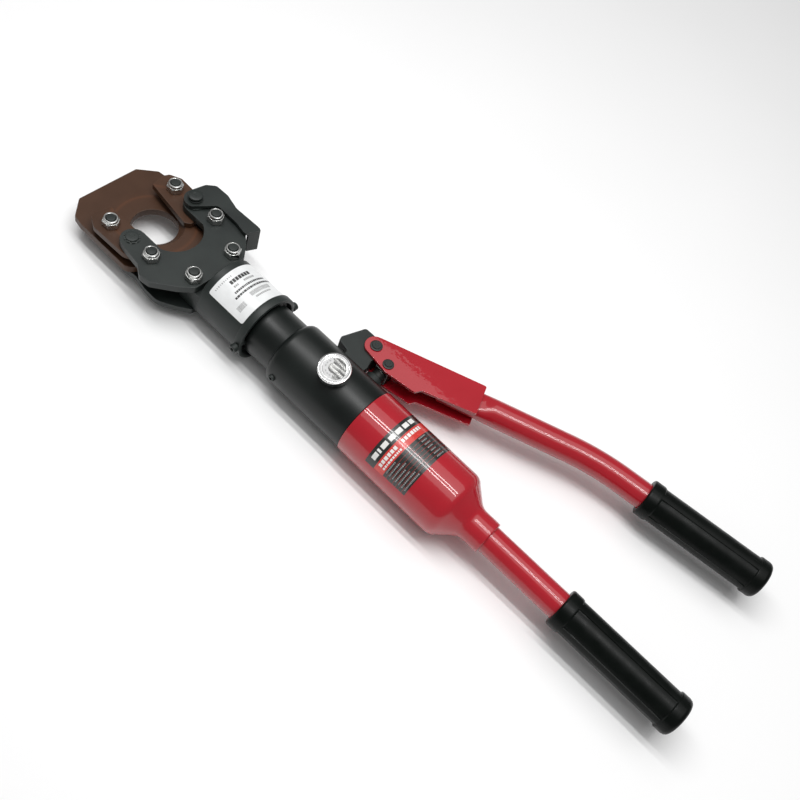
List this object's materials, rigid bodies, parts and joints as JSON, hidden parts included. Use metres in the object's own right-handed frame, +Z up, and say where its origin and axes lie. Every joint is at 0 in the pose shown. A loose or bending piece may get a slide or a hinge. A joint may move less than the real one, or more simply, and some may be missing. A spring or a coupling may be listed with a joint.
{
  "type": "hydraulic cable cutter",
  "caption": "Hand-pumped hydraulic cable cutter: a guillotine head that opens round a cable, a cylinder with a red oil tank, and two long handles with black grips.",
  "frame": {"origin": "centre of the object's box, on the surface the tool lies on", "axes": "+X along the tool from the blades towards the handles, +Y towards the pump lever, +Z up, square to the blade plates"},
  "size_m": [0.63, 0.2156, 0.0725],
  "materials": {
    "blackened_steel": "black oxide, satin",
    "zinc_steel": "zinc plated",
    "bronzed_blade_steel": "brown tempered tool steel, satin",
    "satin_black_paint": "satin black",
    "red_paint": "gloss crimson",
    "black_grip_plastic": "semi-gloss black",
    "chrome": "polished",
    "ground_steel": "ground",
    "seal_rubber": "matt"
  },
  "bodies": {
    "body": {"ram_cylinder": "satin_black_paint", "bleed_screw": "blackened_steel", "front_gland": "ground_steel", "oil_tank": "red_paint", "oil_bladder": "seal_rubber", "fixed_tube": "red_paint", "fixed_grip": "black_grip_plastic", "lever_lug": "blackened_steel", "pump_gland": "blackened_steel", "return_spring": "ground_steel"},
    "head": {"side_plate_top": "blackened_steel", "side_plate_bottom": "blackened_steel", "head_sleeve": "blackened_steel", "sleeve_collar": "blackened_steel", "collar_screw_left": "blackened_steel", "collar_screw_right": "blackened_steel", "hinge_pin": "blackened_steel", "hinge_clip": "blackened_steel", "frame_spacer_left": "blackened_steel", "frame_spacer_right": "blackened_steel", "frame_bolt_front_left": "blackened_steel", "frame_bolt_front_right": "blackened_steel", "frame_bolt_rear_left": "blackened_steel", "frame_bolt_rear_right": "blackened_steel", "frame_nut_front_left": "zinc_steel", "frame_nut_front_right": "zinc_steel", "frame_nut_rear_left": "zinc_steel", "frame_nut_rear_right": "zinc_steel"},
    "jaw": {"fixed_blade": "bronzed_blade_steel", "guide_left": "bronzed_blade_steel", "guide_right": "bronzed_blade_steel", "guide_spacer_left": "bronzed_blade_steel", "guide_spacer_right": "bronzed_blade_steel", "guide_bolt_left": "blackened_steel", "guide_bolt_right": "blackened_steel", "guide_nut_left": "zinc_steel", "guide_nut_right": "zinc_steel"},
    "latch": {"latch_lever": "blackened_steel", "latch_pin": "blackened_steel", "latch_washer": "blackened_steel", "latch_clip": "blackened_steel"},
    "ram": {"ram": "chrome", "blade_pin": "ground_steel", "piston_seal": "seal_rubber", "moving_blade": "bronzed_blade_steel"},
    "lever": {"lever_bracket": "red_paint", "lever_tube": "red_paint", "lever_grip": "black_grip_plastic", "lever_pivot_pin": "blackened_steel", "lever_drive_pin": "blackened_steel"},
    "plunger": {"pump_plunger": "ground_steel"},
    "release": {"release_knob": "chrome", "release_spindle": "ground_steel"}
  },
  "joints": [
    {"name": "head_swivel", "type": "hinge", "parent": "body", "child": "head", "pos_m": [-0.121, -0.05481, 0.0309], "axis": [1, 0, 0], "range_deg": [-90, 90]},
    {"name": "jaw_hinge", "type": "hinge", "parent": "head", "child": "jaw", "pos_m": [-0.244, -0.08801, 0.0309], "axis": [0, 0, 1], "range_deg": [0, 95]},
    {"name": "latch_turn", "type": "hinge", "parent": "head", "child": "latch", "pos_m": [-0.244, -0.02161, 0.0309], "axis": [0, 0, 1], "range_deg": [0, 45]},
    {"name": "ram_stroke", "type": "slide", "parent": "head", "child": "ram", "axis": [-1, 0, 0], "range_m": [0, 0.042], "deforming": ["return_spring"]},
    {"name": "lever_swing", "type": "hinge", "parent": "body", "child": "lever", "pos_m": [-0.0465, -0.00131, 0.0309], "axis": [0, 0, 1], "range_deg": [-15, 35]},
    {"name": "pump_stroke", "type": "slide", "parent": "body", "child": "plunger", "axis": [0, 1, 0], "range_m": [-0.0055, 0.012]},
    {"name": "release_turn", "type": "hinge", "parent": "body", "child": "release", "pos_m": [-0.044, -0.05481, 0.0309], "axis": [0, -0.1736, 0.9848], "range_deg": [0, 90]}
  ],
  "couplings": [
    {"joint": "pump_stroke", "follows": "lever_swing", "m_per_rad": 0.0187}
  ]
}
